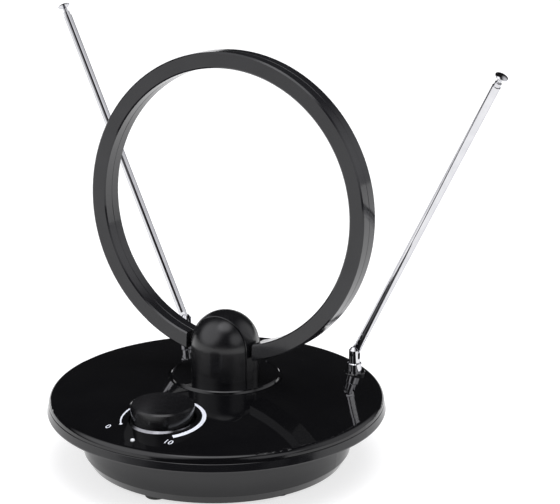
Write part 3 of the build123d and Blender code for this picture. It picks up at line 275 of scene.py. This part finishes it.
def plain_moulding(name, dark, light, low, high):
    """Matt or satin plastic with slight mottling and a fine grain."""
    shade = Shade(name, dark, low)
    shade.tint(shade.noise(3 * MM, 4.0), dark, light)
    shade.rough(shade.noise(1.5 * MM), low, high)
    shade.bump(shade.noise(0.15 * MM, 2.0), 0.008 * MM)
    return shade.material


def lamp_lens():
    shade = Shade("led_lens", (0.82, 0.84, 0.88), 0.08, ior=1.53)
    shade.tint(shade.noise(0.8 * MM), (0.74, 0.77, 0.82), (0.9, 0.91, 0.94))
    shade.rough(shade.noise(0.5 * MM), 0.05, 0.14)
    shade.bump(shade.noise(0.7 * MM), 0.01 * MM)
    shade.shader.inputs["Coat Weight"].default_value = 1.0
    shade.shader.inputs["Coat Roughness"].default_value = 0.03
    return shade.material


def screen_ink():
    """White ink, very slightly blue, a little uneven where the screen's mesh shows."""
    shade = Shade("print_ink", (0.78, 0.81, 0.9), 0.4)
    shade.tint(shade.noise(0.3 * MM), (0.72, 0.75, 0.85), (0.86, 0.88, 0.94))
    shade.rough(shade.noise(0.2 * MM), 0.32, 0.5)
    shade.bump(shade.cells(0.12 * MM), 0.004 * MM)
    return shade.material


MATERIALS = {
    "gloss_black": moulded_gloss(),
    "drum_plastic": moulded_semi_gloss(
        "drum_plastic", (0.005, 0.005, 0.006), (0.007, 0.007, 0.008), 0.05, 0.1, 0.0006 * MM
    ),
    "hub_plastic": moulded_semi_gloss(
        "hub_plastic", (0.005, 0.005, 0.006), (0.0075, 0.0075, 0.0085), 0.19, 0.26, 0.001 * MM
    ),
    "loop_plastic": moulded_semi_gloss(
        "loop_plastic", (0.009, 0.009, 0.0105), (0.013, 0.013, 0.0148), 0.07, 0.13, 0.001 * MM
    ),
    "knob_satin": satin_knob(),
    "bezel_metal": turned_ring(),
    "chrome_plate": chrome("chrome_plate", 0.04, 0.09),
    "chrome_tube": chrome("chrome_tube", 0.035, 0.075),
    "zinc_steel": steel("zinc_steel", (0.42, 0.43, 0.45), (0.6, 0.61, 0.64), 0.25, 0.42),
    "tinned_steel": steel("tinned_steel", (0.55, 0.55, 0.54), (0.72, 0.72, 0.7), 0.2, 0.34, (8, 1, 1)),
    "ballast_steel": steel("ballast_steel", (0.2, 0.2, 0.21), (0.34, 0.34, 0.35), 0.4, 0.6, (1, 8, 1)),
    "shaft_aluminium": steel("shaft_aluminium", (0.56, 0.56, 0.57), (0.7, 0.7, 0.72), 0.22, 0.36),
    "socket_plating": steel("socket_plating", (0.5, 0.49, 0.46), (0.68, 0.67, 0.63), 0.16, 0.3, (1, 6, 1)),
    "band_copper": steel("band_copper", (0.6, 0.3, 0.17), (0.78, 0.46, 0.28), 0.25, 0.45, (6, 6, 1)),
    "foot_rubber": rubber(),
    "board_laminate": laminate(),
    "component_black": plain_moulding("component_black", (0.012,) * 3, (0.022,) * 3, 0.4, 0.6),
    "control_body": plain_moulding("control_body", (0.1, 0.075, 0.05), (0.16, 0.12, 0.08), 0.45, 0.65),
    "insulator_white": plain_moulding("insulator_white", (0.76, 0.75, 0.7), (0.84, 0.83, 0.79), 0.4, 0.55),
    "washer_nylon": plain_moulding("washer_nylon", (0.68, 0.66, 0.6), (0.76, 0.74, 0.68), 0.4, 0.55),
    "sleeve_black": plain_moulding("sleeve_black", (0.006,) * 3, (0.01,) * 3, 0.2, 0.32),
    "led_lens": lamp_lens(),
}
INK = screen_ink()

for row in frame["record"]["subparts"]:
    for slot in frame["nodes"][row["node"]].material_slots:
        slot.material = MATERIALS[row["material_slot"]]


# -------------------------------------------------------------------- printed dial

plate = frame["nodes"]["top_plate"]
plate_tree = BVHTree.FromObject(plate, bpy.context.evaluated_depsgraph_get())
knob_centre = centre("knob")


def around_knob(radius, degrees):
    """The x and y of a point beside the knob."""
    angle = radians(degrees)
    return knob_centre.x + radius * cos(angle), knob_centre.y + radius * sin(angle)


def shift(drawing, x, y):
    """Moves a whole flat drawing."""
    for vert in drawing.verts:
        vert.co.x += x
        vert.co.y += y


def on_plate(x, y, lift):
    """The point of the plate's surface under or over (x, y), raised by lift."""
    hit, normal, _, _ = plate_tree.ray_cast(Vector((x, y, 1.0)), Vector((0, 0, -1)))
    return hit + normal * lift


def ink_piece(name, drawing):
    """Turns a flat drawing in x and y into a thin layer of ink that lies on the plate."""
    bmesh.ops.triangulate(drawing, faces=drawing.faces[:])
    made = bmesh.ops.extrude_face_region(drawing, geom=drawing.faces[:])
    raised = {v for v in made["geom"] if isinstance(v, bmesh.types.BMVert)}
    for vert in drawing.verts:
        lift = INK_THICKNESS if vert in raised else 0.0
        vert.co = on_plate(vert.co.x, vert.co.y, lift)
    bmesh.ops.recalc_face_normals(drawing, faces=drawing.faces[:])
    mesh = bpy.data.meshes.new(name)
    drawing.to_mesh(mesh)
    drawing.free()
    mesh.materials.append(INK)
    piece = bpy.data.objects.new(name, mesh)
    bpy.context.scene.collection.objects.link(piece)
    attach(piece, "base")


def dial_arc():
    """An arc about the knob that widens from off to the most gain."""
    drawing = bmesh.new()
    narrow, wide = DIAL_WIDTHS
    rows = []
    for step in range(DIAL_STEPS + 1):
        share = step / DIAL_STEPS
        degrees = DIAL_START + DIAL_SWEEP * share
        half = (narrow + (wide - narrow) * share) / 2
        edges = (DIAL_RADIUS - half, DIAL_RADIUS + half)
        rows.append([drawing.verts.new((*around_knob(r, degrees), 0.0)) for r in edges])
    for (a, b), (c, d) in zip(rows, rows[1:]):
        drawing.faces.new((a, b, d, c))
    ink_piece("dial_arc", drawing)


def dial_dot():
    """The dot that ends the arc at off."""
    drawing = bmesh.new()
    bmesh.ops.create_circle(drawing, cap_ends=True, radius=DOT_RADIUS, segments=DOT_SEGMENTS)
    shift(drawing, *around_knob(DIAL_RADIUS, DIAL_START + DOT_LEAD))
    ink_piece("dial_dot", drawing)


def dial_numeral(name, text, degrees, radius):
    """A number beside the dial, upright for someone in front of the knob."""
    curve = bpy.data.curves.new(name, "FONT")
    curve.body = text
    curve.align_x = "CENTER"
    curve.align_y = "CENTER"
    curve.size = NUMERAL_HEIGHT / HEIGHT_PER_FONT_SIZE
    curve.resolution_u = NUMERAL_SMOOTHNESS
    holder = bpy.data.objects.new(name, curve)
    mesh = bpy.data.meshes.new_from_object(holder)
    drawing = bmesh.new()
    drawing.from_mesh(mesh)
    bpy.data.objects.remove(holder)
    bpy.data.curves.remove(curve)
    bpy.data.meshes.remove(mesh)
    bmesh.ops.remove_doubles(drawing, verts=drawing.verts, dist=MERGE_DISTANCE)
    shift(drawing, *around_knob(radius, degrees))
    ink_piece(name, drawing)


dial_arc()
dial_dot()
for name, (text, degrees, radius) in NUMERALS.items():
    dial_numeral(name, text, degrees, radius)


# --------------------------------------------------------- floor, light and camera


def floor():
    """A wide pale floor, lit a little from below as a light table is, so its shadows stay soft."""
    shade = Shade("floor_paint", (0.46, 0.46, 0.465), 0.6)
    shade.tint(shade.noise(0.6), (0.455, 0.455, 0.46), (0.465, 0.465, 0.47))
    shade.shader.inputs["Specular IOR Level"].default_value = 0.1
    shade.shader.inputs["Emission Color"].default_value = (1.0, 1.0, 1.0, 1.0)
    shade.shader.inputs["Emission Strength"].default_value = FLOOR_GLOW
    shade.rough(shade.noise(0.05), 0.5, 0.7)
    corners = [(x * FLOOR_HALF, y * FLOOR_HALF, 0) for x, y in ((-1, -1), (1, -1), (1, 1), (-1, 1))]
    mesh = bpy.data.meshes.new("floor")
    mesh.from_pydata(corners, [], [(0, 1, 2, 3)])
    mesh.materials.append(shade.material)
    piece = bpy.data.objects.new("floor", mesh)
    bpy.context.scene.collection.objects.link(piece)


def soft_box(name, place, aim, size, radiance):
    """A rectangular soft light for what is matt, unseen by the camera and in reflections."""
    light = bpy.data.lights.new(name, "AREA")
    light.shape = "RECTANGLE"
    light.size, light.size_y = size
    light.energy = radiance * pi * size[0] * size[1]
    lamp = bpy.data.objects.new(name, light)
    lamp.location = place
    towards = Vector(aim) - Vector(place)
    lamp.rotation_euler = towards.to_track_quat("-Z", "Y").to_euler()
    lamp.visible_camera = False
    lamp.visible_glossy = False
    bpy.context.scene.collection.objects.link(lamp)


def surroundings():
    """Even pale light for what is matt, and for what is polished a dark room with patches of light."""
    world = bpy.data.worlds.new("studio")
    world.use_nodes = True
    nodes, links = world.node_tree.nodes, world.node_tree.links
    nodes.clear()
    direction = nodes.new("ShaderNodeTexCoord").outputs["Generated"]
    total = None
    for towards, inner, outer, strength in PATCHES:
        dot = nodes.new("ShaderNodeVectorMath")
        dot.operation = "DOT_PRODUCT"
        links.new(direction, dot.inputs[0])
        dot.inputs[1].default_value = Vector(towards).normalized()
        edge = nodes.new("ShaderNodeMapRange")
        edge.interpolation_type = "SMOOTHSTEP"
        edge.inputs["From Min"].default_value = cos(radians(outer))
        edge.inputs["From Max"].default_value = cos(radians(inner))
        edge.inputs["To Max"].default_value = strength
        links.new(dot.outputs["Value"], edge.inputs["Value"])
        adder = nodes.new("ShaderNodeMath")
        adder.inputs[1].default_value = DARK_ROOM
        links.new(edge.outputs["Result"], adder.inputs[0])
        if total:
            links.new(total, adder.inputs[1])
        total = adder.outputs["Value"]
    room = nodes.new("ShaderNodeBackground")
    room.inputs["Color"].default_value = ROOM_COLOUR
    links.new(total, room.inputs["Strength"])
    pale = nodes.new("ShaderNodeBackground")
    pale.inputs["Color"].default_value = PALE_COLOUR
    pale.inputs["Strength"].default_value = PALE_STRENGTH
    path = nodes.new("ShaderNodeLightPath")
    mix = nodes.new("ShaderNodeMixShader")
    links.new(path.outputs["Is Glossy Ray"], mix.inputs[0])
    links.new(pale.outputs[0], mix.inputs[1])
    links.new(room.outputs[0], mix.inputs[2])
    out = nodes.new("ShaderNodeOutputWorld")
    links.new(mix.outputs[0], out.inputs["Surface"])
    bpy.context.scene.world = world


def camera():
    data = bpy.data.cameras.new("camera")
    data.lens = CAMERA_LENS
    data.sensor_width = CAMERA_SENSOR
    data.clip_end = CAMERA_REACH
    eye = bpy.data.objects.new("camera", data)
    eye.location = CAMERA_PLACE
    eye.rotation_euler = (radians(90 - CAMERA_PITCH), 0, radians(CAMERA_AZIMUTH))
    bpy.context.scene.collection.objects.link(eye)
    bpy.context.scene.camera = eye


floor()
for name, (place, aim, size, radiance) in LAMPS.items():
    soft_box(name, place, aim, size, radiance)
surroundings()
camera()
bpy.context.scene.view_settings.view_transform = "Standard"
